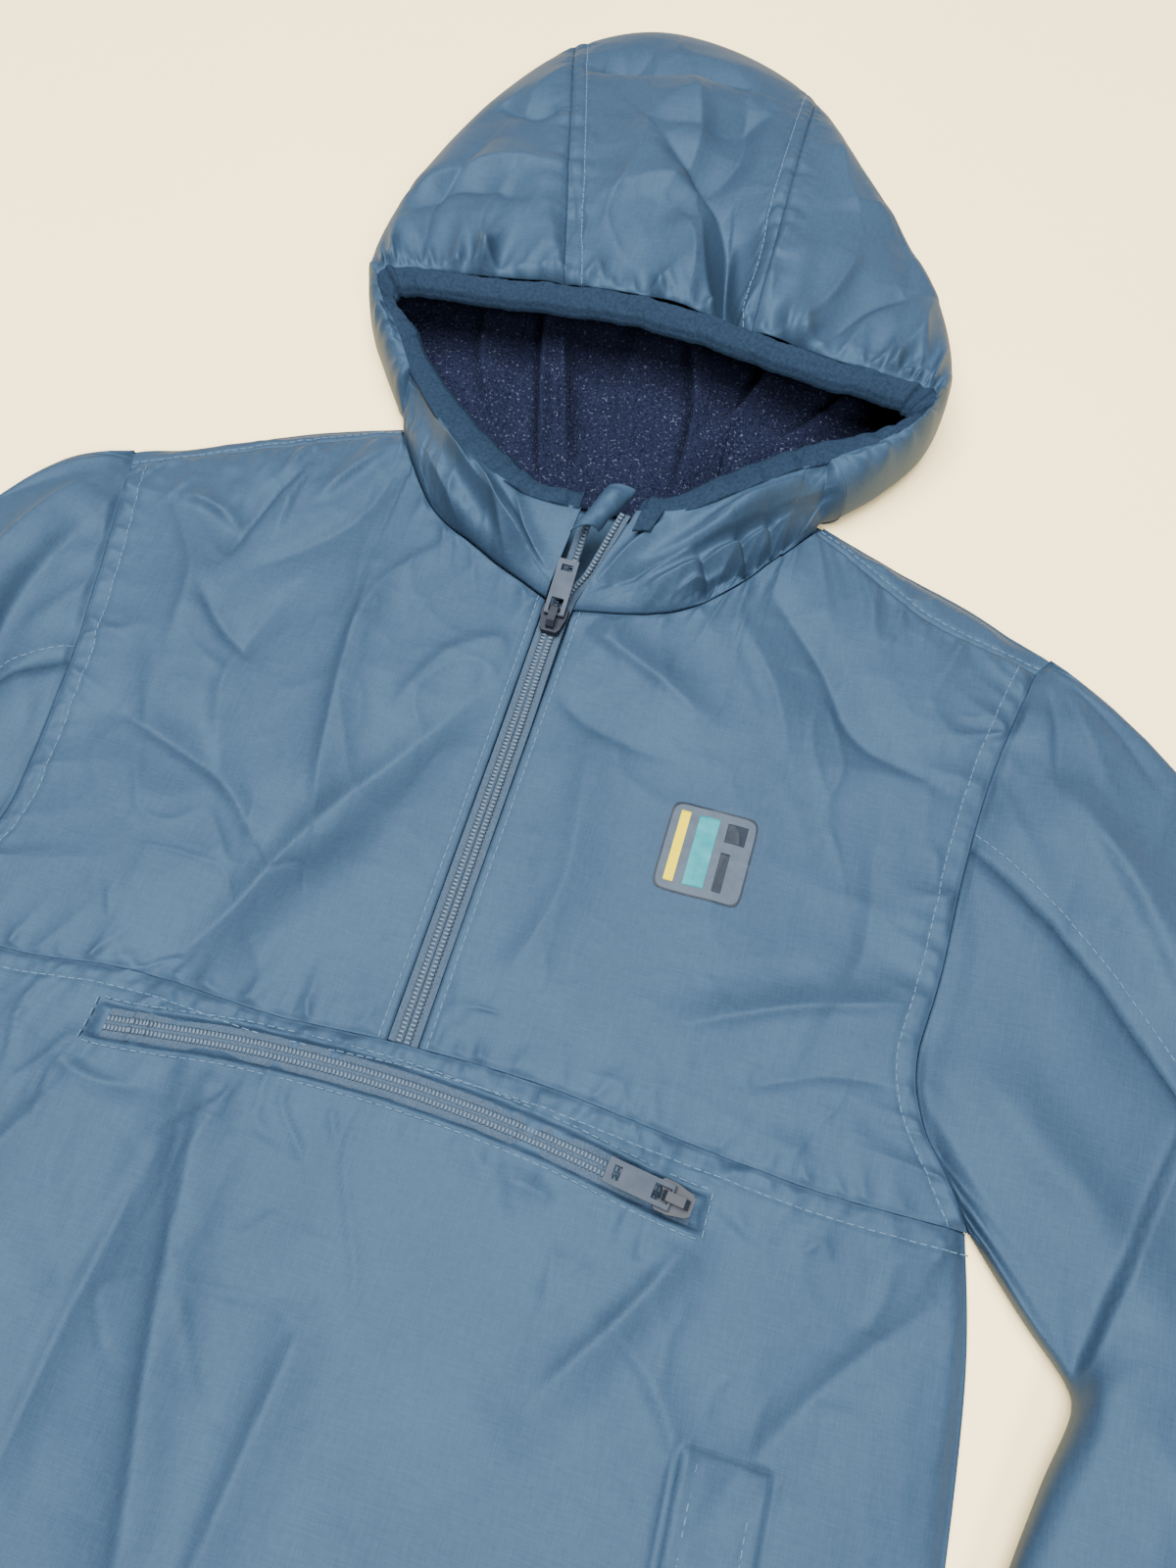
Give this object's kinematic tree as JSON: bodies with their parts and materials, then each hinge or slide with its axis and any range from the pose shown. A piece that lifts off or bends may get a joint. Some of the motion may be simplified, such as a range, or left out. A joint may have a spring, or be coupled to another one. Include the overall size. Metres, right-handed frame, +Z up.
{
  "type": "anorak pullover",
  "caption": "Child's hooded anorak pullover laid flat on its back, with a half zip, a zipped chest pocket and a fleece-lined hood.",
  "frame": {"origin": "on the surface the garment lies on, under the foot of the half zip, in the flat underside of the back panel", "axes": "+X to the wearer's left, +Y from the hem up to the hood, +Z up from the surface through the front of the garment"},
  "size_m": [0.6105, 0.6799, 0.0396],
  "materials": {
    "shell": "light woven nylon, slate blue, slight sheen",
    "fleece": "navy fleece, pilled",
    "binding": "matt elastic binding",
    "zip_tape": "coil zip tape, grey blue",
    "zip_metal": "dark lacquered metal",
    "print": "flat heat transfer print"
  },
  "bodies": {
    "garment": {"back": "shell", "front_lower": "shell", "front_upper_left": "shell", "front_upper_right": "shell", "back_shoulder_left": "shell", "back_shoulder_right": "shell", "sleeve_outer_left": "shell", "sleeve_inner_left": "shell", "sleeve_outer_right": "shell", "sleeve_inner_right": "shell", "hood_side_right": "shell", "hood_lining_right": "fleece", "hood_center": "shell", "hood_lining_center": "fleece", "hood_side_left": "shell", "hood_lining_left": "fleece", "hood_cheek_right": "shell", "hood_cheek_left": "shell", "hood_binding": "binding", "binding_end_tab": "binding", "front_zip_tape_right": "zip_tape", "front_zip_tape_left": "zip_tape", "zip_garage": "shell", "pocket_zip_tape": "zip_tape", "hand_pocket_welt_left": "shell", "hand_pocket_welt_right": "shell", "chest_print": "print", "front_slider": "zip_metal", "pocket_slider": "zip_metal"},
    "front_tab": {"front_pull_tab": "zip_metal"},
    "pocket_tab": {"pocket_pull_tab": "zip_metal"}
  },
  "joints": [
    {"name": "front_tab_swing", "type": "hinge", "parent": "garment", "child": "front_tab", "pos_m": [0, 0.1422, 0.01316], "axis": [1, 0, 0], "range_deg": [0, 120]},
    {"name": "pocket_tab_swing", "type": "hinge", "parent": "garment", "child": "pocket_tab", "pos_m": [0.08335, -0.02066, 0.01531], "axis": [0.1197, 0.9928, 0], "range_deg": [0, 120]}
  ]
}
